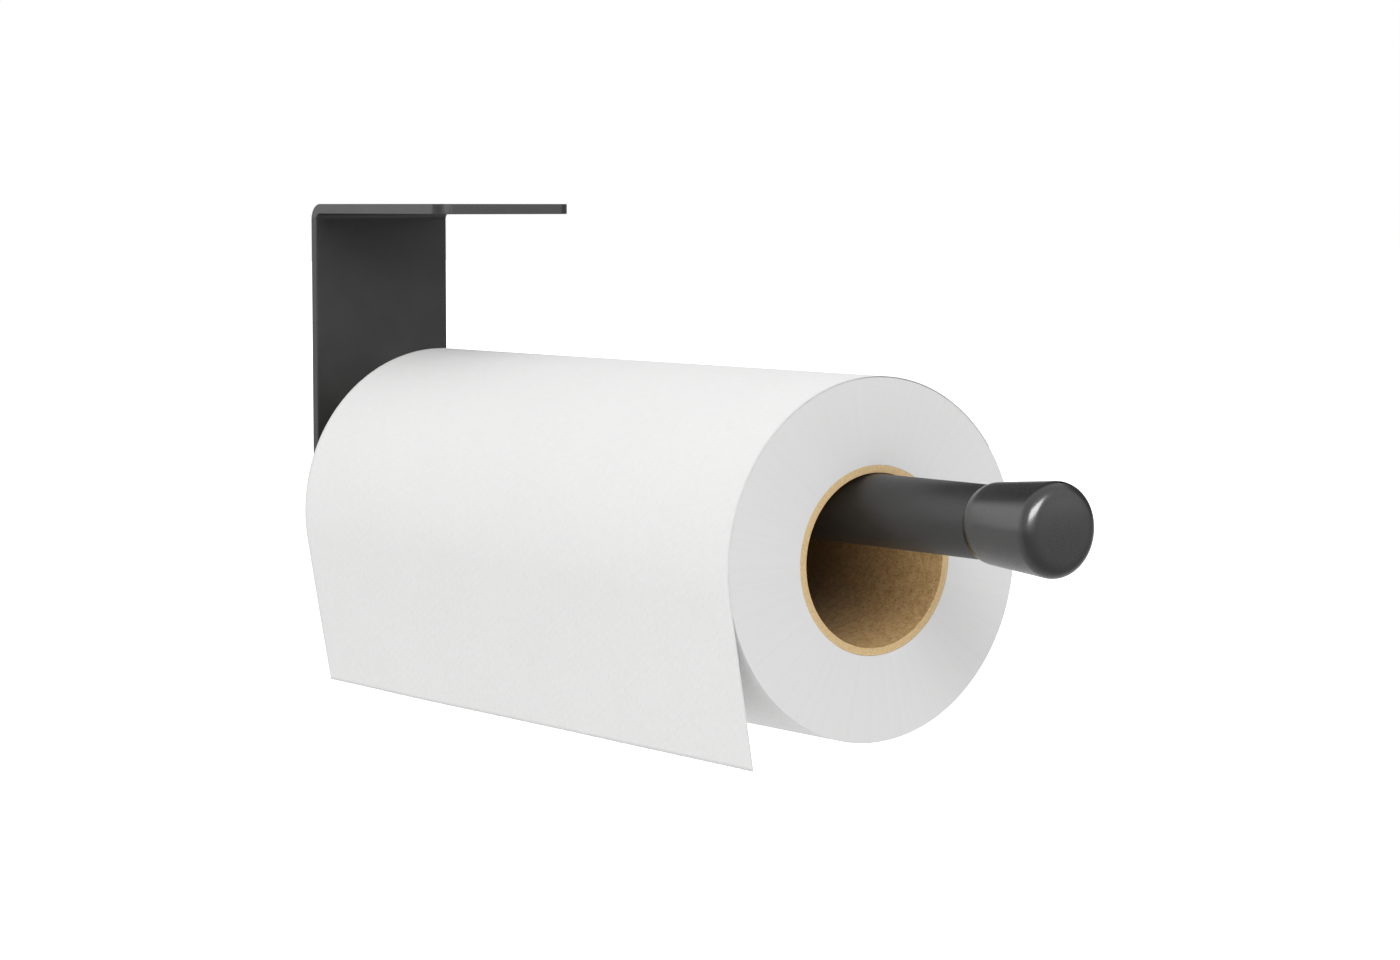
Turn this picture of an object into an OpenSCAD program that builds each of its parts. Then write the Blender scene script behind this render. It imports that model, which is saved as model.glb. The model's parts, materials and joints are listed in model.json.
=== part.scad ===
// Under-cabinet paper towel holder with its roll.
// A bent steel plate screws up under a shelf or cabinet. A tube stands out from it along +X and
// carries the roll, and a flared rubber cap on the tube's free end keeps the roll from creeping off.
// Origin: the centre of the flange's top face. +X runs along the tube to its free end, +Z is up,
// and the loose sheet hangs on the -Y side, which faces the user.

/* [Bracket] */
// Width of the bent plate, across the tube
plate_w = 63; // [50:1:75]
// Thickness of the steel plate
plate_t = 4; // [4:0.5:5]
// Length of the flange, from the strap's back face to its front edge
flange_len = 99; // [90:1:110]
// Height of the strap, from the flange's top face to its lower edge
strap_h = 140; // [135:1:150]
// Inside radius of the bend
bend_r = 2.5; // [2:0.5:4]
// Radius of the plate's corners, seen flat
corner_r = 6.5; // [3:0.5:10]

/* [Screw holes] */
// Diameter of the four holes for the cabinet screws
hole_d = 5.2; // [4:0.1:6]
// Diameter of their countersinks, on the flange's underside
sink_d = 10; // [8:0.5:11]
// Hole spacing along the tube
hole_gap_x = 50; // [40:1:60]
// Hole spacing across the tube
hole_gap_y = 36; // [30:1:40]

/* [Bar] */
// Outside diameter of the tube
bar_d = 25; // [22:0.5:26]
// Wall of the tube
bar_wall = 1.5; // [1:0.1:2]
// Depth of the tube's axis below the flange's top face
bar_drop = 104.5; // [100:0.1:110]
// Length from the strap's front face to the end of the cap
bar_reach = 420; // [400:1:440]

/* [End cap] */
// Length of the cap
cap_len = 35.6; // [30:0.1:40]
// Diameter of the cap where it meets the tube
cap_back_d = 27.8; // [27.5:0.1:29]
// Diameter of the cap at its free end
cap_front_d = 31.8; // [30:0.1:34]
// Radius of the lip that meets the tube
cap_lip_r = 3; // [2:0.5:3]
// Radius of the edge round the end face
cap_edge_r = 4.5; // [3:0.5:6]
// Thickness of the cap's end, past the tube
cap_end_t = 4.5; // [3:0.5:6]

/* [Towel roll] */
// Length of the roll
roll_len = 280; // [270:1:285]
// Gap between the strap and the roll
roll_gap = 44.5; // [30:0.5:55]
// Diameter of the wound paper, under the loose sheet
wound_d = 125.8; // [110:0.1:130]
// Inside diameter of the paperboard core
core_bore = 60.5; // [58:0.5:62]
// Wall of the core
core_wall = 2.65; // [2:0.05:3]
// Length of the sheet that hangs loose
sheet_len = 58; // [40:1:64]
// Thickness of the towel
sheet_t = 0.4; // [0.3:0.05:0.5]
// Lean of the loose sheet from the vertical, in towards the roll's underside
sheet_lean = 9.8; // [0:0.1:15]

/* [Hidden] */
$fn = 96;

cut = 1;                                  // how far a cutter stands past the face it opens
back_x = -flange_len / 2;                 // the strap's back face
face_x = back_x + plate_t;                // the strap's front face
bend_out = bend_r + plate_t;              // outside radius of the bend
bore_d = bar_d - 2 * bar_wall;            // inside of the tube
tube_len = bar_reach - cap_end_t;
cap_x = face_x + bar_reach - cap_len;     // where the cap begins

// M6 countersunk screw that holds the tube, with its plug
screw_d = 6;
screw_head_d = 11.6;
screw_head_h = (screw_head_d - screw_d) / 2;
screw_len = 22;
screw_hole_d = 6.4;
key_af = 4;                               // across the flats of the hex socket
key_depth = 2;
plug_len = 24;
plug_slack = 0.02;                        // the plug is a push fit in the tube
thread_slack = 0.05;

core_slack = 0.3;                         // the core hangs this far clear of the tube's top
paper_slack = 0.08;                       // running clearance between the core and the paper
core_d = core_bore + 2 * core_wall;
roll_x = face_x + roll_gap;
roll_drop = bar_drop + core_bore / 2 - bar_d / 2 - core_slack;
sheet_slack = 0.2;                        // the loose sheet stands this far off the wound paper
sheet_r = wound_d / 2 + sheet_slack + sheet_t / 2;   // from the roll's axis to the sheet's middle

// A w by l rectangle from the Y axis along +X, whose two far corners are rounded.
module tongue(w, l, r) {
    translate([0, -w / 2]) square([l - r, w]);
    translate([l - 2 * r, -w / 2 + r]) square([2 * r, w - 2 * r]);
    for (side = [-1, 1])
        translate([l - r, side * (w / 2 - r)]) circle(r);
}

// Lays a shape that is built up along +Z along +X instead, from the strap's front face.
module along_bar(x, drop) {
    translate([x, 0, -drop]) rotate([0, 90, 0]) children();
}

// A through hole along +Z from z = 0 to z = t, countersunk at 90 degrees on the z = 0 side.
module sunk_hole(d, head_d, t) {
    translate([0, 0, -cut]) cylinder(h = t + 2 * cut, d = d);
    cylinder(h = (head_d - d) / 2, d1 = head_d, d2 = d);
    translate([0, 0, -cut]) cylinder(h = cut, d = head_d);
}

// Quarter ring of the bend, in the X-Z plane, extruded across the plate.
module bend() {
    translate([back_x + bend_out, plate_w / 2, -bend_out])
        rotate([90, 0, 0])
            linear_extrude(plate_w)
                intersection() {
                    difference() {
                        circle(bend_out);
                        circle(bend_r);
                    }
                    translate([-bend_out, 0]) square(bend_out);
                }
}

module bracket_plate() {
    color([0.17, 0.17, 0.18])
        difference() {
            union() {
                translate([back_x + bend_out, 0, -plate_t])
                    linear_extrude(plate_t)
                        tongue(plate_w, flange_len - bend_out, corner_r);
                translate([back_x, 0, -bend_out])
                    rotate([0, 90, 0])
                        linear_extrude(plate_t)
                            tongue(plate_w, strap_h - bend_out, corner_r);
                bend();
            }
            for (x = [-1, 1], y = [-1, 1])
                translate([x * hole_gap_x / 2, y * hole_gap_y / 2, -plate_t])
                    sunk_hole(hole_d, sink_d, plate_t);
            along_bar(back_x, bar_drop)
                sunk_hole(screw_hole_d, screw_head_d + 0.4, plate_t);
        }
}

module bar_tube() {
    color([0.19, 0.19, 0.2])
        along_bar(face_x, bar_drop)
            difference() {
                cylinder(h = tube_len, d = bar_d);
                translate([0, 0, -cut]) cylinder(h = tube_len + 2 * cut, d = bore_d);
            }
}

// Steel plug pushed into the tube's end at the strap, with the hole that the screw bites into.
module bar_plug() {
    plug_d = bore_d - 2 * plug_slack;
    chamfer = 1;
    color([0.6, 0.61, 0.62])
        along_bar(face_x, bar_drop)
            difference() {
                union() {
                    cylinder(h = plug_len - chamfer, d = plug_d);
                    translate([0, 0, plug_len - chamfer])
                        cylinder(h = chamfer, d1 = plug_d, d2 = plug_d - 2 * chamfer);
                }
                translate([0, 0, -cut])
                    cylinder(h = plug_len + 2 * cut, d = screw_d + 2 * thread_slack);
            }
}

// Countersunk socket screw, driven from behind the strap.
module bar_screw() {
    recess = 0.2;
    color([0.12, 0.12, 0.13])
        along_bar(back_x + recess, bar_drop)
            difference() {
                union() {
                    cylinder(h = screw_head_h, d1 = screw_head_d, d2 = screw_d);
                    cylinder(h = screw_len - 1, d = screw_d);
                    translate([0, 0, screw_len - 1]) cylinder(h = 1, d1 = screw_d, d2 = screw_d - 2);
                }
                translate([0, 0, -cut])
                    cylinder(h = key_depth + cut, d = key_af / cos(30), $fn = 6);
            }
}

// Points of an arc about c from angle a to angle b.
function arc(c, r, a, b, n = 10) =
    [for (i = [0:n]) let (t = a + (b - a) * i / n) c + r * [cos(t), sin(t)]];

// Flared rubber cap: a cup that is pushed over the tube. Its outline is [radius, length].
module end_cap() {
    lip_c = [cap_back_d / 2 - cap_lip_r, 0];
    lip_start = acos((bar_d / 2 + 0.3 - lip_c[0]) / cap_lip_r);
    lip_y = cap_lip_r * sin(lip_start);
    edge_c = [cap_front_d / 2 - cap_edge_r, cap_len - cap_edge_r];
    outline = concat(
        [[0, 0]],
        [[bar_d / 2 + 0.3, 0]],
        arc(lip_c + [0, lip_y], cap_lip_r, -lip_start, 0),
        arc(edge_c, cap_edge_r, 0, 90),
        [[0, cap_len]]);
    color([0.13, 0.13, 0.13])
        along_bar(cap_x, bar_drop)
            difference() {
                rotate_extrude() polygon(outline);
                translate([0, 0, -cut]) cylinder(h = cap_len - cap_end_t + cut, d = bar_d);
            }
}

module roll_core() {
    color([0.78, 0.62, 0.38])
        along_bar(roll_x, roll_drop)
            difference() {
                cylinder(h = roll_len, d = core_d);
                translate([0, 0, -cut]) cylinder(h = roll_len + 2 * cut, d = core_bore);
            }
}

module towel_roll() {
    color([0.93, 0.93, 0.92])
        along_bar(roll_x, roll_drop)
            difference() {
                cylinder(h = roll_len, d = wound_d);
                translate([0, 0, -cut])
                    cylinder(h = roll_len + 2 * cut, d = core_d + 2 * paper_slack);
            }
}

// The sheet leaves the roll along its tangent, on the side that faces the user. Its rounded upper
// edge lies on the line that it bends about.
module loose_sheet() {
    color([0.95, 0.95, 0.94])
        translate([roll_x, 0, -roll_drop])
            rotate([sheet_lean, 0, 0])
                translate([0, -sheet_r, 0]) {
                    translate([0, -sheet_t / 2, -sheet_len]) cube([roll_len, sheet_t, sheet_len]);
                    rotate([0, 90, 0]) cylinder(h = roll_len, d = sheet_t);
                }
}

bracket_plate();
bar_tube();
bar_plug();
bar_screw();
end_cap();
roll_core();
towel_roll();
loose_sheet();
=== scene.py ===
import json
import math
import random

import bmesh
import bpy
from mathutils import Matrix, Vector, noise


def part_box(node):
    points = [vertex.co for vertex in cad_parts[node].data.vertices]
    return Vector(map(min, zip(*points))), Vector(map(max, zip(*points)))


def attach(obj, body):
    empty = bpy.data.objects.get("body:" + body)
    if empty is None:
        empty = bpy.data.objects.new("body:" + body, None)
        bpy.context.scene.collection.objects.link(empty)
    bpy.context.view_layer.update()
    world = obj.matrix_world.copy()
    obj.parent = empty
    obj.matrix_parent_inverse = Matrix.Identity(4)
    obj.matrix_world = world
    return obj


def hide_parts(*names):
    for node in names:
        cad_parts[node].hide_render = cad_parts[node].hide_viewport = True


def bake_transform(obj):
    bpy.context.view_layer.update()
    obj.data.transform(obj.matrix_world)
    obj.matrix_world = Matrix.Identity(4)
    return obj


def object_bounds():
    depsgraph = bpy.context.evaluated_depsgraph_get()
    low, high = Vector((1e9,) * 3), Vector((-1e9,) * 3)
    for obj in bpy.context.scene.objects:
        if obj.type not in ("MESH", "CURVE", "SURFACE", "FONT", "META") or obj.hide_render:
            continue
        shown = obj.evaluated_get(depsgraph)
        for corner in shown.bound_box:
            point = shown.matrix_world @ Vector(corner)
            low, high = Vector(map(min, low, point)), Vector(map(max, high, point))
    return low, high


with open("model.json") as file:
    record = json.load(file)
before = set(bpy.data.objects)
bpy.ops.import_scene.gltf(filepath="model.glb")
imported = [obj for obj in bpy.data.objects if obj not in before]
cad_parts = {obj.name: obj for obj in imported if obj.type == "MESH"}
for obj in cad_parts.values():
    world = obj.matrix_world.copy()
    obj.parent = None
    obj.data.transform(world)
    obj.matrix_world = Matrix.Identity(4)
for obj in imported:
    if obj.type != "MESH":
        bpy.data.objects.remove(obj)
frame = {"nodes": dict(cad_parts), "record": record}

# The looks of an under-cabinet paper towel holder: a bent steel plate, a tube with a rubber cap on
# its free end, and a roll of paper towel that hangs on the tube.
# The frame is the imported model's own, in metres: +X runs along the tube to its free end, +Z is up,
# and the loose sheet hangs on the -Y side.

MM = 0.001
TURN = 2 * math.pi
cad_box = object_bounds()


# ---------------------------------------------------------------- sizes, read from the frame

def middle(box):
    return (box[0] + box[1]) / 2


def size(box):
    return box[1] - box[0]


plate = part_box("bracket_plate")
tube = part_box("bar_tube")
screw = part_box("bar_screw")
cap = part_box("end_cap")
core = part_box("roll_core")
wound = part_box("towel_roll")
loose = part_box("loose_sheet")

strap_face = tube[0].x                   # the strap's front face, where the tube starts
plate_t = strap_face - plate[0].x
bar_z = middle(tube).z
bar_r = size(tube).z / 2
roll_z = middle(wound).z
wound_r = size(wound).z / 2
roll_start = wound[0].x
roll_end = wound[1].x
core_r = size(core).z / 2
holes = next(m for m in frame["record"]["mounts"] if m["name"] == "cabinet_holes")

PLATE_BEND = 6.5 * MM                    # outside radius of the bend
PLATE_CORNER = 6.5 * MM
PLATE_EDGE = 0.35 * MM                   # softening of the plate's edges
CABINET_SINK = 2.4 * MM                  # depth of the cabinet holes' countersinks
SCREW_HOLE = 3.2 * MM                    # radius
SCREW_SINK = 2.8 * MM                    # depth of the countersink at the strap's back
SHANK_R = 3 * MM                         # the bar screw's thread
KEY_R = 2 / math.cos(math.radians(30)) * MM   # its socket, 4 mm across the flats, to the corners
KEY_DEPTH = 2 * MM
TUBE_WALL = 1.5 * MM
CAP_BACK = 13.9 * MM                     # radius of the cap's side where the lip ends
CAP_LIP = 12 * MM                        # radius of the long curve from the tube out to the side
CAP_EDGE = 4.5 * MM                      # radius of the edge round the end face
CAP_END = 4.5 * MM                       # thickness of the cap's end, past the tube
CORE_WALL = 2.65 * MM
SHEET_T = 0.4 * MM
SHEET_GAP = 0.2 * MM                     # between the loose sheet and the wound paper
SHEET_LEAN = math.radians(9.8)           # of the loose sheet, in under the roll
SHEET_CUT = 229 * MM                     # between perforations
roll_r = wound_r + SHEET_GAP + SHEET_T   # over the outermost turn
hang = size(loose).z / math.cos(SHEET_LEAN)
wrap = SHEET_CUT - hang                  # how much of the loose sheet still lies on the roll
wrap_turn = wrap / roll_r
tangent = math.pi / 2 + SHEET_LEAN       # where the sheet leaves the roll, as a turn from +Z to -Y


# ---------------------------------------------------------------- mesh tools

def finish_piece(bm, name, slot, body, node, sharp=35):
    """Makes an object of bm that has a slot's finish, rides on a body and stands for one CAD node."""
    mesh = bpy.data.meshes.new(name)
    bm.to_mesh(mesh)
    bm.free()
    mesh.shade_smooth()
    mesh.set_sharp_from_angle(angle=math.radians(sharp))
    piece = bpy.data.objects.new(name, mesh)
    bpy.context.scene.collection.objects.link(piece)
    mesh.materials.append(finishes[slot])
    if body:
        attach(piece, body)
    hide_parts(node)
    return piece


def arc(centre, radius, start, end, steps):
    """Points (x, radius) along an arc, with its angles in degrees from +x towards +radius."""
    points = []
    for i in range(steps + 1):
        angle = math.radians(start + (end - start) * i / steps)
        points.append((centre[0] + radius * math.cos(angle), centre[1] + radius * math.sin(angle)))
    return points


def lathe(outline, axis_z, steps=128, closed=False):
    """Spins an outline of (x, radius) points about the X-wise line at height axis_z."""
    bm = bmesh.new()
    verts = [bm.verts.new((x, 0, axis_z + r)) for x, r in outline]
    edges = [bm.edges.new(pair) for pair in zip(verts, verts[1:])]
    if closed:
        edges.append(bm.edges.new((verts[-1], verts[0])))
    bmesh.ops.spin(bm, geom=verts + edges, cent=(0, 0, axis_z), axis=(1, 0, 0),
                   angle=TURN, steps=steps, use_merge=True)
    bmesh.ops.remove_doubles(bm, verts=bm.verts, dist=1e-7)
    bmesh.ops.recalc_face_normals(bm, faces=bm.faces)
    return bm


# ---------------------------------------------------------------- material tools

class Socket:
    """A node's output. Arithmetic on it adds Math nodes to its tree."""

    def __init__(self, out):
        self.out = out

    def math(self, operation, *others):
        inputs = dict(enumerate((self, *others)))
        return add(self.out.id_data, "ShaderNodeMath", {"operation": operation}, inputs)

    def __add__(self, other):
        return self.math("ADD", other)

    def __sub__(self, other):
        return self.math("SUBTRACT", other)

    def __rsub__(self, other):
        return self * -1.0 + other

    def __mul__(self, other):
        return self.math("MULTIPLY", other)

    def __truediv__(self, other):
        return self.math("DIVIDE", other)

    __radd__ = __add__
    __rmul__ = __mul__


def add(tree, kind, settings=None, inputs=None, output=0):
    """Adds a node of that kind: its settings first, then the values or links of its sockets."""
    node = tree.nodes.new(kind)
    for key, value in (settings or {}).items():
        setattr(node, key, value)
    for key, value in (inputs or {}).items():
        if isinstance(value, Socket):
            tree.links.new(value.out, node.inputs[key])
        else:
            node.inputs[key].default_value = value
    return Socket(node.outputs[output])


class Finish:
    """A material under construction: set() feeds its shader, and the rest make patterns."""

    def __init__(self, name, **constants):
        self.material = bpy.data.materials.new(name)
        self.material.use_nodes = True
        self.tree = self.material.node_tree
        self.shader = self.tree.nodes["Principled BSDF"]
        for key, value in constants.items():
            self.shader.inputs[key.replace("_", " ")].default_value = value
        self.place = self.add("ShaderNodeTexCoord", output="Object")

    def add(self, kind, settings=None, inputs=None, output=0):
        return add(self.tree, kind, settings, inputs, output)

    def set(self, **links):
        for key, socket in links.items():
            self.tree.links.new(socket.out, self.shader.inputs[key.replace("_", " ")])

    def noise(self, scale, detail=3.0, rough=0.55, vector=None, stretch=None):
        vector = vector or self.place
        if stretch:
            vector = self.add("ShaderNodeVectorMath", {"operation": "MULTIPLY"}, {0: vector, 1: stretch})
        return self.add("ShaderNodeTexNoise", {}, {"Vector": vector, "Scale": scale, "Detail": detail,
                                                   "Roughness": rough})

    def spread(self, value, low, high, start=0.0, end=1.0):
        """Maps value from low..high to start..end, smoothly and clamped."""
        return self.add("ShaderNodeMapRange", {"interpolation_type": "SMOOTHSTEP"},
                        {"Value": value, "From Min": low, "From Max": high, "To Min": start, "To Max": end})

    def mix(self, factor, a, b):
        """A blend of two colours, on the Mix node's colour sockets."""
        return self.add("ShaderNodeMix", {"data_type": "RGBA"}, {0: factor, 6: a, 7: b}, output=2)

    def bump(self, height, distance, normal=None):
        inputs = {"Height": height, "Distance": distance}
        if normal:
            inputs["Normal"] = normal
        return self.add("ShaderNodeBump", {}, inputs)

    def split(self, vector):
        """The vector's x, y and z."""
        x = self.add("ShaderNodeSeparateXYZ", {}, {0: vector})
        return [Socket(out) for out in x.out.node.outputs]


def grey(value, warm=0.0):
    return (value * (1 + warm), value, value * (1 - warm), 1)


# ---------------------------------------------------------------- finishes

def powder_coat():
    """Satin black powder coat on steel: near-black, with the fine peel that the powder leaves, and
    painted light on the plate's cut edges at its top, which are painted paler."""
    f = Finish("black_powder_coat", Metallic=0.0, IOR=1.5)
    x, y, z = f.split(f.place)
    side = f.spread(y.math("ABSOLUTE"), size(plate).y / 2 - 0.2 * MM, size(plate).y / 2 - 0.05 * MM)
    front = f.spread(x, plate[1].x - 0.2 * MM, plate[1].x - 0.05 * MM)
    top = f.spread(z, -1.5 * plate_t, -1.2 * plate_t)
    broad = f.noise(45, detail=4)
    peel = f.noise(1500, detail=2)
    speck = f.noise(4200, detail=1)
    tone = f.mix(f.spread(broad, 0.3, 0.7), grey(0.021, 0.01), grey(0.027, 0.01))
    # Painted light: the cut edges at the top are painted paler grey, for the light they catch.
    f.set(Base_Color=f.mix(side.math("MAXIMUM", front) * top, tone, grey(0.060)),
          Roughness=f.spread(broad * 0.7 + speck * 0.3, 0.3, 0.7, 0.37, 0.46),
          Normal=f.bump(speck, 0.004 * MM, normal=f.bump(peel, 0.012 * MM)))
    return f.material


def rubber():
    """Moulded black rubber: a dull shine under a thin, smooth skin, and painted light on the end face,
    whose middle is painted paler.
    """
    f = Finish("black_rubber", Metallic=0.0, IOR=1.52, Coat_Weight=0.42, Coat_Roughness=0.18)
    broad = f.noise(60, detail=4)
    fine = f.noise(2600, detail=2)
    tone = f.mix(f.spread(broad, 0.3, 0.7), grey(0.019, 0.01), grey(0.024, 0.01))
    x, y, z = f.split(f.place)
    z = z - bar_z
    end_face = f.spread(x, cap[1].x - 2 * MM, cap[1].x - 1 * MM)
    middle_part = f.spread((y * y + z * z).math("SQRT"), 9.5 * MM, 14.5 * MM, 1.0, 0.0)
    # Painted light: the middle of the end face is painted paler grey.
    f.set(Base_Color=f.mix(end_face * middle_part, tone, grey(0.043)),
          Roughness=f.spread(broad * 0.6 + fine * 0.4, 0.3, 0.7, 0.26, 0.30),
          Normal=f.bump(fine, 0.0015 * MM))
    return f.material


def dark_steel():
    """Black-oxide steel of the socket screw, brighter where the key has rubbed."""
    f = Finish("black_oxide_steel", Metallic=0.85)
    grain = f.noise(900, detail=4)
    f.set(Base_Color=f.mix(f.spread(grain, 0.45, 0.75), grey(0.03), grey(0.085, 0.02)),
          Roughness=f.spread(grain, 0.3, 0.7, 0.34, 0.48),
          Normal=f.bump(grain, 0.01 * MM))
    return f.material


def zinc_steel():
    """Bright zinc plate of the plug, turned, so its grain runs round the tube's axis."""
    f = Finish("zinc_steel", Metallic=1.0)
    lines = f.noise(300, detail=4, stretch=(18, 1, 1))
    f.set(Base_Color=f.mix(f.spread(lines, 0.3, 0.7), (0.50, 0.51, 0.52, 1), (0.62, 0.62, 0.60, 1)),
          Roughness=f.spread(lines, 0.3, 0.7, 0.25, 0.42),
          Normal=f.bump(lines, 0.01 * MM))
    return f.material


def board():
    """Brown paperboard of the core: mottled fibres and a spiral seam inside, with painted shade that
    darkens the inside deep in the roll, and the edges of the plies on the cut ends."""
    f = Finish("brown_paperboard", Metallic=0.0)
    x, y, z = f.split(f.place)
    z = z - roll_z
    angle = y.math("ARCTAN2", z) / TURN
    pitch = 118 * MM
    seam = (angle + x / pitch + 0.18).math("FRACT")
    from_seam = (seam - 0.5).math("ABSOLUTE")
    seam_line = f.spread(from_seam, 0.0, 0.006, 1.0, 0.0)
    radius = (y * y + z * z).math("SQRT")
    cut_end = f.spread(radius, core_r - CORE_WALL + 0.05 * MM, core_r - CORE_WALL + 0.25 * MM)
    mottle = f.noise(320, detail=6, rough=0.65)
    fibre = f.noise(1100, detail=5, rough=0.7, stretch=(0.45, 1, 1))
    speck = f.spread(f.noise(1500, detail=2), 0.55, 0.68)
    inside = f.mix(f.spread(mottle * 0.45 + fibre * 0.55, 0.36, 0.62), (0.62, 0.38, 0.15, 1),
                   (0.88, 0.61, 0.29, 1))
    # Painted shade: the inside is painted darker towards the middle of the core's length, away from both
    # ends.
    from_middle = (x - middle(core).x).math("ABSOLUTE")
    half = size(core).x / 2
    deep_painted_shade = f.spread(from_middle, half - 75 * MM, half - 4 * MM, 1.0, 0.0)
    inside = f.mix(deep_painted_shade * 0.80, inside, (0.15, 0.080, 0.030, 1))
    inside = f.mix(speck * 0.42, inside, (0.11, 0.06, 0.022, 1))
    inside = f.mix(seam_line * 0.18, inside, (0.10, 0.055, 0.02, 1))
    cut = f.mix(f.spread(fibre, 0.35, 0.65), (0.66, 0.46, 0.22, 1), (0.78, 0.58, 0.31, 1))
    ply = (radius / (0.88 * MM)).math("FRACT")
    cut = f.mix(f.spread(ply, 0.0, 0.16, 0.3, 0.0), cut, (0.36, 0.23, 0.09, 1))
    f.set(Base_Color=f.mix(cut_end, inside, cut),
          Roughness=f.spread(fibre, 0.3, 0.7, 0.72, 0.9),
          Normal=f.bump(seam_line * -0.3 + fibre * 0.35 + mottle * 0.2, 0.10 * MM))
    return f.material


def towel():
    """White towel: slanted crepe and a skewed grid of small embossed dots, both laid on the sheet,
    and the edges of the turns on the roll's ends."""
    f = Finish("white_towel", Metallic=0.0, Sheen_Weight=0.08, Sheen_Roughness=0.6)
    lie = f.add("ShaderNodeAttribute", {"attribute_name": "lie_flat"}, output="Vector")
    across, along, side = f.split(lie)         # side is 1 on the sheet's face, 0 on the roll's end
    pitch = 2.6 * MM
    warp = f.noise(110, detail=2, vector=lie) * 2.4
    first = (across * 0.26 + along * 0.42) * (TURN / pitch) + warp
    second = (across * 0.62 - along * 0.12) * (TURN / pitch) - warp
    dots = f.spread(first.math("SINE") * second.math("SINE"), 0.1, 0.9)
    slant = f.add("ShaderNodeCombineXYZ", {}, {0: across * 5.0 + along * 4.0, 1: along * 2.2})
    crepe = f.noise(150, detail=4, rough=0.6, vector=slant)
    fluff = f.noise(900, detail=3, vector=lie)
    face = dots * 0.7 + crepe * 2.6 + fluff * 0.4
    _, y, z = f.split(f.place)
    z = z - roll_z
    radius = (y * y + z * z).math("SQRT")
    turns = f.noise(1.0, detail=3, vector=f.add("ShaderNodeCombineXYZ", {}, {0: radius * 2600.0}))
    cut = turns * 0.55 + f.noise(700, detail=3) * 0.6
    height = cut + side * (face - cut)
    tone = f.spread(f.noise(24, detail=3, vector=lie) * 0.3 + crepe * 0.7, 0.3, 0.7)
    base = f.mix(tone, (0.806, 0.807, 0.803, 1), (0.842, 0.842, 0.838, 1))
    base = f.mix((1 - side) * f.spread(turns, 0.35, 0.65, 0.34, 0.24), base, (0.70, 0.70, 0.70, 1))
    f.set(Base_Color=base, Roughness=f.spread(fluff, 0.3, 0.7, 0.82, 0.95),
          Normal=f.bump(height, 0.06 * MM))
    return f.material


# ---------------------------------------------------------------- bracket

def flat_outline(bm, low, high, inset, depth):
    """The edges of the flat blank's outline, with round corners, inset and at that depth."""
    made = bmesh.ops.create_grid(bm, x_segments=1, y_segments=1, size=0.5)
    half = (high - low) / 2
    bmesh.ops.scale(bm, verts=made["verts"], vec=(2 * (half.x - inset), 2 * (half.y - inset), 1))
    centre = (low + high) / 2
    bmesh.ops.translate(bm, verts=made["verts"], vec=(centre.x, centre.y, depth))
    face = made["verts"][0].link_faces[0]
    bmesh.ops.bevel(bm, geom=list(face.verts), affect="VERTICES", offset=PLATE_CORNER - inset,
                    segments=12, profile=0.5, material=-1)
    face = next(f for f in bm.faces if all(abs(v.co.z - depth) < 1e-9 for v in f.verts))
    edges = list(face.edges)
    bmesh.ops.delete(bm, geom=[face], context="FACES_ONLY")
    return edges


def ring(bm, place, radius, depth):
    """The edges of a circle in the flat blank, at that depth."""
    made = bmesh.ops.create_circle(bm, segments=48, radius=radius,
                                   matrix=Matrix.Translation((place[0], place[1], depth)))
    return list({e for v in made["verts"] for e in v.link_edges})


def loft(bm, loops):
    """Joins each loop of edges to the next."""
    for a, b in zip(loops, loops[1:]):
        bmesh.ops.bridge_loops(bm, edges=a + b)


def rounded(low, high, edge, steps=4):
    """(inset, depth) pairs that round an edge over at both ends of a wall from low to high."""
    pairs = []
    for i in range(steps + 1):
        a = math.pi / 2 * i / steps
        pairs.append((edge * (1 - math.sin(a)), low + edge * (1 - math.cos(a))))
    return pairs + [(inset, low + high - depth) for inset, depth in reversed(pairs)]


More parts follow.
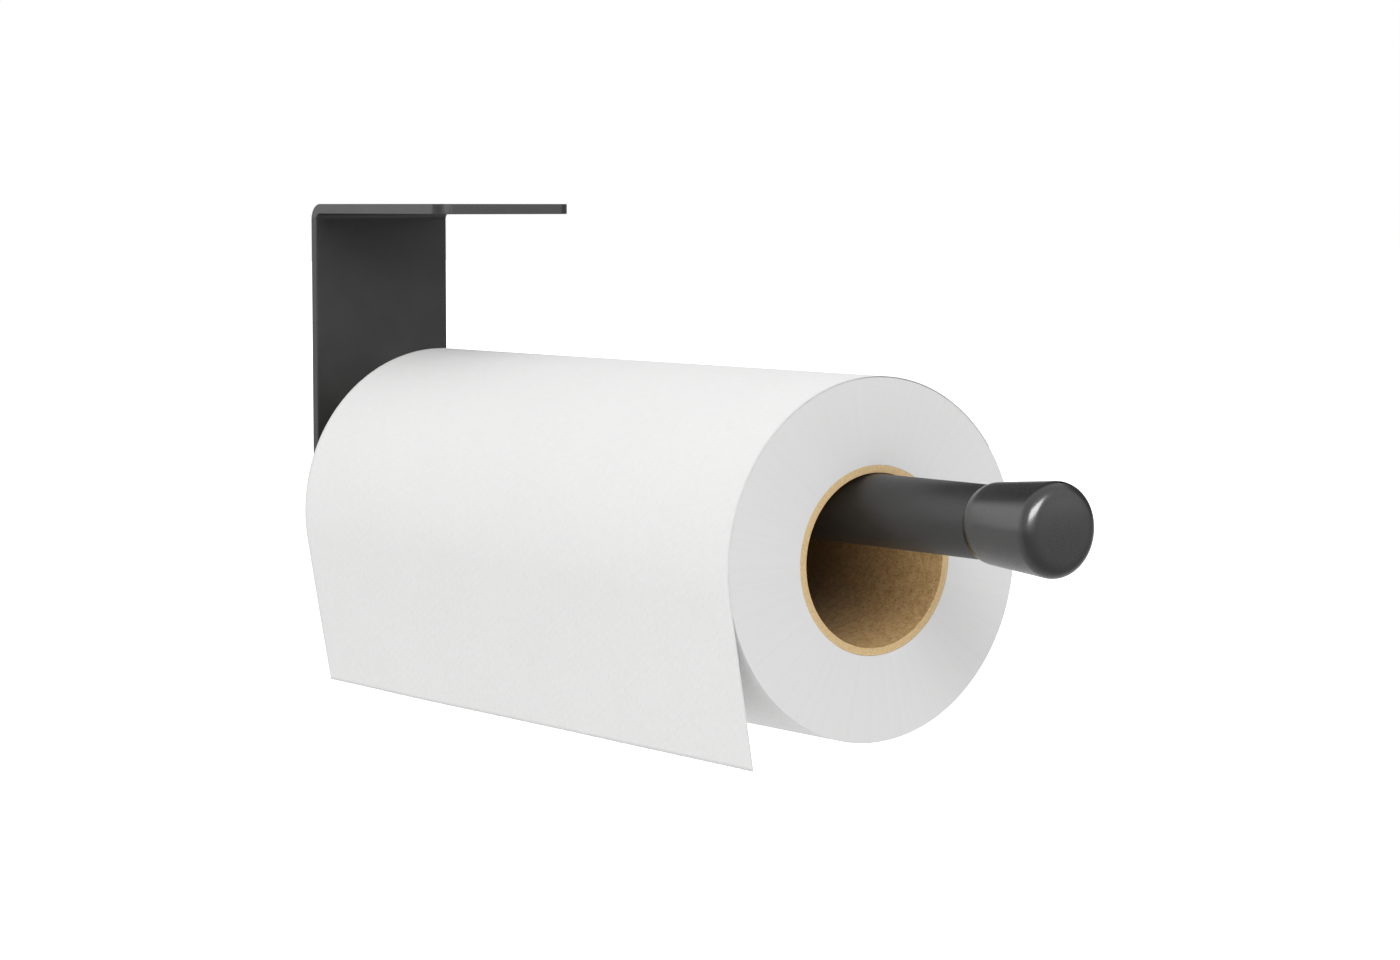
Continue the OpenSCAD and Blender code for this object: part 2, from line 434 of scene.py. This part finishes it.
def make_bracket():
    """A flat blank with its holes, which is then bent. Its flat x runs from the strap's lower edge
    to the flange's front edge, and its depth from the outer face to the inner one."""
    bm = bmesh.new()
    straight = plate[0].z + PLATE_BEND                      # strap's lower edge, from the bend's start
    bend_len = PLATE_BEND * math.pi / 2
    flange_len = plate[1].x - plate[0].x - PLATE_BEND
    low = Vector((straight, plate[0].y))
    high = Vector((bend_len + flange_len, plate[1].y))
    sides = [flat_outline(bm, low, high, inset, depth) for inset, depth in rounded(0, plate_t, PLATE_EDGE)]
    outer, inner = list(sides[0]), list(sides[-1])
    loft(bm, sides)

    dims = holes["dims"]
    hole_r = dims["hole_r_mm"] * MM
    centre = Vector(holes["pos_m"])
    soft = PLATE_EDGE / 2
    for sx in (-1, 1):
        for sy in (-1, 1):
            x = centre.x + sx * dims["spacing_x_mm"] / 2 * MM - plate[0].x - PLATE_BEND + bend_len
            y = centre.y + sy * dims["spacing_y_mm"] / 2 * MM
            loops = [ring(bm, (x, y), r, d) for r, d in (
                (hole_r + soft, 0), (hole_r + soft * 0.3, soft * 0.3), (hole_r, soft),
                (hole_r, plate_t - CABINET_SINK), (hole_r + CABINET_SINK, plate_t))]
            loft(bm, loops)
            outer += loops[0]
            inner += loops[-1]
    x = bar_z + PLATE_BEND
    loops = [ring(bm, (x, 0), r, d) for r, d in (
        (SCREW_HOLE + SCREW_SINK, 0), (SCREW_HOLE, SCREW_SINK), (SCREW_HOLE, plate_t))]
    loft(bm, loops)
    outer += loops[0]
    inner += loops[-1]
    bmesh.ops.triangle_fill(bm, edges=outer, use_beauty=True)
    bmesh.ops.triangle_fill(bm, edges=inner, use_beauty=True)

    steps = 20
    for i in range(steps + 1):
        bmesh.ops.bisect_plane(bm, geom=list(bm.verts) + list(bm.edges) + list(bm.faces),
                               plane_co=(bend_len * i / steps, 0, 0), plane_no=(1, 0, 0))
    for v in bm.verts:
        along, y, depth = v.co
        angle = min(max(along / bend_len, 0), 1) * math.pi / 2
        radius = PLATE_BEND - depth
        x = plate[0].x + PLATE_BEND - radius * math.cos(angle) + max(along - bend_len, 0)
        z = -PLATE_BEND + radius * math.sin(angle) + min(along, 0)
        v.co = (x, y, z)
    bmesh.ops.recalc_face_normals(bm, faces=bm.faces)
    piece = finish_piece(bm, "bracket", "black_powder_coat", "holder", "bracket_plate", sharp=40)
    normals = piece.modifiers.new("flat_faces", "WEIGHTED_NORMAL")
    normals.keep_sharp = True


# ---------------------------------------------------------------- tube, screw and cap

def make_tube():
    edge = 0.4 * MM
    inner = bar_r - TUBE_WALL
    x0, x1 = tube[0].x, tube[1].x
    outline = arc((x0 + edge, bar_r - edge), edge, 180, 90, 4)
    outline += arc((x1 - edge, bar_r - edge), edge, 90, 0, 4)
    outline += [(x1, inner), (x0, inner)]
    bm = lathe(outline, bar_z, closed=True)
    finish_piece(bm, "tube", "black_powder_coat", "holder", "bar_tube")


def make_screw():
    """Countersunk screw from behind the strap, with a hexagonal socket."""
    bm = bmesh.new()
    x0, x1 = screw[0].x, screw[1].x
    head_r = size(screw).z / 2
    rim = 0.3 * MM
    turned = Matrix.Rotation(math.radians(90), 4, "Y")

    def circle(segments, radius, x):
        made = bmesh.ops.create_circle(bm, segments=segments, radius=radius,
                                       matrix=Matrix.Translation((x, 0, bar_z)) @ turned)
        return list({e for v in made["verts"] for e in v.link_edges})

    shape = [(x0, head_r - rim), (x0 + rim * 0.3, head_r - rim * 0.3), (x0 + rim, head_r - rim * 0.8),
             (x0 + head_r - SHANK_R, SHANK_R), (x1 - 1 * MM, SHANK_R), (x1, 2 * MM)]
    loops = [circle(48, r, x) for x, r in shape]
    loft(bm, loops)
    bmesh.ops.contextual_create(bm, geom=loops[-1])
    mouth = circle(6, KEY_R, x0)
    mouth_in = circle(6, KEY_R * 0.96, x0 + 0.15 * MM)
    floor = circle(6, KEY_R * 0.96, x0 + KEY_DEPTH)
    loft(bm, [mouth, mouth_in, floor])
    bmesh.ops.contextual_create(bm, geom=floor)
    bmesh.ops.triangle_fill(bm, edges=loops[0] + mouth, use_beauty=True)
    bmesh.ops.recalc_face_normals(bm, faces=bm.faces)
    finish_piece(bm, "screw", "black_oxide_steel", "holder", "bar_screw", sharp=25)


def make_cap():
    """Flared cup that is pushed over the tube, with a long soft lip and a slightly crowned end."""
    x0, x1 = cap[0].x, cap[1].x
    front_r = size(cap).z / 2
    inner_r = bar_r + 0.03 * MM
    mouth_r = bar_r + 0.25 * MM
    crown = 0.6 * MM
    lip_start = 180 - math.degrees(math.asin((mouth_r + CAP_LIP - CAP_BACK) / CAP_LIP))
    lip = (x0 - CAP_LIP * math.cos(math.radians(lip_start)), CAP_BACK - CAP_LIP)
    flare = math.degrees(math.atan2(front_r - CAP_BACK, x1 - CAP_EDGE - lip[0]))
    outline = [(x1 - CAP_END, 0), (x1 - CAP_END, inner_r)]
    outline += [(x0 + 1 * MM, inner_r), (x0 + 0.4 * MM, mouth_r - 0.1 * MM)]
    outline += arc(lip, CAP_LIP, lip_start, 90 + flare, 14)
    outline += arc((x1 - crown - CAP_EDGE, front_r - CAP_EDGE), CAP_EDGE, 90 + flare, 4, 20)
    flat_r = outline[-1][1]
    outline += [(x1 - crown * (1 - i / 6) ** 2, flat_r * (1 - i / 6)) for i in range(1, 7)]
    bm = lathe(outline, bar_z, steps=160)
    finish_piece(bm, "rubber_cap", "black_rubber", "holder", "end_cap", sharp=50)


# ---------------------------------------------------------------- roll

def make_core():
    """Paperboard tube: its cut ends show the edges of three plies."""
    inner = core_r - CORE_WALL
    x0, x1 = core[0].x, core[1].x
    soft = 0.22 * MM
    groove = 0.09 * MM
    plies = 3
    profile = arc((soft, inner + soft), soft, 270, 180, 4)
    for i in range(1, plies):
        r = inner + CORE_WALL * i / plies
        profile += [(0, r - groove), (groove, r), (0, r + groove)]
    profile += arc((soft, core_r - soft), soft, 180, 90, 4)
    outline = [(x0 + d, r) for d, r in profile] + [(x1 - d, r) for d, r in reversed(profile)]
    bm = lathe(outline, roll_z, steps=144, closed=True)
    finish_piece(bm, "paperboard_core", "brown_paperboard", "core", "roll_core")


def make_wound_towel():
    """The wound towel: an outline spun once round the core, from the loose sheet's upper end. On its
    way to the tangent the radius shrinks by one sheet, which makes room for the loose one."""
    rng = random.Random(4)
    inner = core_r + 0.06 * MM
    edge = 0.45 * MM
    rings = 26

    def end_profile():
        """(depth, radius) from the roll's bore to its outer face; each turn stands a little in or out."""
        radii = [inner + (roll_r - edge - inner) * i / (rings - 1) for i in range(rings)]
        return [(rng.uniform(0, 0.1) * MM, r) for r in radii] + arc((edge, roll_r - edge), edge, 155, 90, 3)

    near = [(roll_start + d, r) for d, r in end_profile()]
    far = [(roll_end - d, r) for d, r in end_profile()]
    outline = near + far[::-1]
    start = tangent - wrap_turn

    bm = bmesh.new()
    first = [bm.verts.new((x, -r * math.sin(start), roll_z + r * math.cos(start))) for x, r in outline]
    first_edges = [bm.edges.new(pair) for pair in zip(first, first[1:] + first[:1])]
    spun = bmesh.ops.spin(bm, geom=first + first_edges, cent=(0, 0, roll_z), axis=(-1, 0, 0),
                          angle=TURN, steps=240)
    last = set(spun["geom_last"])
    last_edges = [e for e in last if isinstance(e, bmesh.types.BMEdge)]
    flat = bm.verts.layers.float_vector.new("lie_flat")
    first = set(first)
    bare = 0.97 * (1 - wrap_turn / TURN)      # the share of a turn over which the radius shrinks
    for v in bm.verts:
        arm = Vector((v.co.y, v.co.z - roll_z))
        share = (start - math.atan2(-arm.x, arm.y)) / TURN % 1
        share = 0 if v in first else 1 if v in last else share
        on_face = (arm.length - (roll_r - edge)) / edge
        v[flat] = (v.co.x - roll_start, -wrap - roll_r * share * TURN, max(on_face, 0))
        lost = SHEET_T * min(share / bare, 1) * (arm.length - inner) / (roll_r - inner)
        arm *= 1 - lost / arm.length
        v.co.y, v.co.z = arm.x, arm.y + roll_z
    bmesh.ops.bridge_loops(bm, edges=first_edges + last_edges)
    bmesh.ops.remove_doubles(bm, verts=bm.verts, dist=1e-6)
    bmesh.ops.dissolve_degenerate(bm, edges=bm.edges, dist=1e-7)
    bmesh.ops.recalc_face_normals(bm, faces=bm.faces)
    finish_piece(bm, "wound_towel", "white_towel", "towel", "towel_roll", sharp=50)


def make_loose_sheet():
    """One whole sheet: it lies on the roll from the last perforation to the tangent, then hangs."""
    columns, rows = 140, 150
    tear = 0.12 * MM                                     # how far the torn edge wanders
    bm = bmesh.new()
    flat = bm.verts.layers.float_vector.new("lie_flat")
    bmesh.ops.create_grid(bm, x_segments=columns, y_segments=rows, size=0.5)
    torn_edge = []
    for i, v in enumerate(bm.verts):
        x = (v.co.x + 0.5) * (roll_end - roll_start)
        s = (0.5 - v.co.y) * SHEET_CUT - wrap            # along the sheet, from the tangent line
        if s > hang - 0.01 * MM:
            torn_edge.append(i)
            s += tear * noise.noise(Vector((x * 900, 3.3, 0))) - tear
        down = max(s, 0)
        angle = tangent + min(s, 0) / roll_r
        ripple = 0.5 * MM * (down / hang) ** 2 * noise.noise(Vector((x * 14, down * 9, 1.7)))
        r = roll_r + ripple
        v.co = (roll_start + x, -r * math.sin(angle) + down * math.sin(SHEET_LEAN),
                roll_z + r * math.cos(angle) - down * math.cos(SHEET_LEAN))
        v[flat] = (x, s, 1)
    bmesh.ops.recalc_face_normals(bm, faces=bm.faces)
    if sum(f.normal.y for f in bm.faces) > 0:
        bmesh.ops.reverse_faces(bm, faces=bm.faces)
    piece = finish_piece(bm, "loose_towel", "white_towel", None, "loose_sheet", sharp=50)
    torn = piece.vertex_groups.new(name="torn_edge")
    torn.add(torn_edge, 1, "REPLACE")
    thick = piece.modifiers.new("thickness", "SOLIDIFY")
    thick.thickness = 0.6 * SHEET_T
    thick.offset = -1
    thick.vertex_group = torn.name
    thick.invert_vertex_group = True
    thick.thickness_vertex_group = 0.15
    hinge = Vector((0, -roll_r * math.sin(tangent), roll_z + roll_r * math.cos(tangent)))
    down = Vector((0, math.sin(SHEET_LEAN), -math.cos(SHEET_LEAN)))
    hinge + down * 12 * MM
    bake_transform(piece)


# ---------------------------------------------------------------- studio

FLOOR_DROP = 0.42                        # from the part's lowest point down to the floor
LIGHT_DISTANCE = 1.6


def make_floor():
    """A pale floor, well below. The eye sees it white, as a lit studio sweep, and gloss alone picks up a
    floor painted darker under the free end of the tube: a painted dark reflection."""
    f = Finish("studio_floor", Metallic=0.0, Roughness=0.9, Emission_Strength=0.9)
    x = f.split(f.place)[0]
    pale = f.mix(f.spread(f.noise(0.6), 0.3, 0.7), grey(0.79), grey(0.81))
    glossy = f.add("ShaderNodeLightPath", output="Is Glossy Ray")
    # Painted dark reflection: for glossy rays only, the floor is painted darker towards +X.
    f.set(Base_Color=f.mix(glossy * f.spread(x, 0.1, 0.8), pale, grey(0.30)))
    eye = f.add("ShaderNodeLightPath", output="Is Camera Ray")
    f.set(Emission_Color=f.mix(eye, grey(0), grey(1)))
    bm = bmesh.new()
    bmesh.ops.create_grid(bm, x_segments=1, y_segments=1, size=30)
    bmesh.ops.translate(bm, verts=bm.verts, vec=(0, 0, cad_box[0].z - FLOOR_DROP))
    mesh = bpy.data.meshes.new("floor")
    bm.to_mesh(mesh)
    bm.free()
    floor = bpy.data.objects.new("floor", mesh)
    bpy.context.scene.collection.objects.link(floor)
    mesh.materials.append(f.material)


def towards(around, up):
    """A direction: around is in degrees from -Y towards +X, up is above the horizon."""
    a, e = math.radians(around), math.radians(up)
    return Vector((math.sin(a) * math.cos(e), -math.cos(a) * math.cos(e), math.sin(e)))


def make_world():
    """A bright room: plain white to the eye, and soft light on the object, stronger from the left.
    What the object's gloss picks up is a pale panel on the left and two patches of dark wall."""
    world = bpy.data.worlds.new("studio")
    bpy.context.scene.world = world
    world.use_nodes = True
    tree = world.node_tree
    tree.nodes.clear()
    aim = add(tree, "ShaderNodeTexCoord", output="Generated")

    def patch(direction, inner, outer):
        """1 within inner degrees of a direction, fading to 0 at outer."""
        facing = add(tree, "ShaderNodeVectorMath", {"operation": "DOT_PRODUCT"},
                     {0: aim, 1: direction}, output="Value")
        return add(tree, "ShaderNodeMapRange", {"interpolation_type": "SMOOTHSTEP"},
                   {"Value": facing, "From Min": math.cos(math.radians(outer)),
                    "From Max": math.cos(math.radians(inner)), "To Min": 0.0, "To Max": 1.0})

    panel = patch(towards(-46, 10), 25, 33)
    shade = patch(towards(-114, 38), 27, 35) + patch(towards(186, 6), 28, 42)
    leaning = add(tree, "ShaderNodeVectorMath", {"operation": "DOT_PRODUCT"},
                  {0: aim, 1: (-0.8, -0.62, -0.25)}, output="Value")
    lit = 0.95 + leaning * 0.29
    shine = 0.96 + panel * 0.50 - shade * 0.85
    eye = add(tree, "ShaderNodeLightPath", output="Is Camera Ray")
    glossy = add(tree, "ShaderNodeLightPath", output="Is Glossy Ray")
    room = lit + glossy * (shine - lit)
    strength = room + eye * (1.0 - room)
    background = add(tree, "ShaderNodeBackground", {}, {"Color": (1, 1, 1, 1), "Strength": strength})
    end = tree.nodes.new("ShaderNodeOutputWorld")
    tree.links.new(background.out, end.inputs["Surface"])


def make_light(name, direction, width, height, power, shiny):
    """A softbox that either only lights the object or only shines in its gloss."""
    light = bpy.data.lights.new(name, "AREA")
    light.shape = "RECTANGLE"
    light.size = width
    light.size_y = height
    light.energy = power
    lamp = bpy.data.objects.new(name, light)
    bpy.context.scene.collection.objects.link(lamp)
    lamp.location = middle(cad_box) + direction * LIGHT_DISTANCE
    lamp.rotation_euler = direction.to_track_quat("Z", "Y").to_euler()
    lamp.visible_glossy = shiny
    lamp.visible_diffuse = not shiny


def make_camera():
    """A long lens beyond the cap, on the loose sheet's side and level with the flange."""
    out_from_strap = 1.2356
    to_the_side = 0.7481
    above_flange = 0.0007
    down = math.radians(90 - 4.609)          # a little below level
    around = math.radians(53.546)            # from facing +Y, round to the roll
    camera = bpy.data.objects.new("camera", bpy.data.cameras.new("camera"))
    bpy.context.scene.collection.objects.link(camera)
    camera.location = (strap_face + out_from_strap, -to_the_side, above_flange)
    camera.rotation_euler = (down, 0, around)
    camera.data.sensor_width = 36
    camera.data.lens = 88.59
    bpy.context.scene.camera = camera


make_camera()
make_floor()
make_world()
make_light("key", towards(66, 26), width=0.50, height=0.35, power=3.9, shiny=False)
make_light("key_shine", towards(73, 25), width=1.35, height=0.60, power=35, shiny=True)
bpy.context.scene.view_settings.view_transform = "Standard"

finishes = {
    "black_powder_coat": powder_coat(),
    "black_oxide_steel": dark_steel(),
    "zinc_steel": zinc_steel(),
    "black_rubber": rubber(),
    "brown_paperboard": board(),
    "white_towel": towel(),
}
make_bracket()
make_tube()
make_screw()
make_cap()
make_core()
make_wound_towel()
make_loose_sheet()
plug = frame["nodes"]["bar_plug"]
plug.data.materials.clear()
plug.data.materials.append(finishes["zinc_steel"])
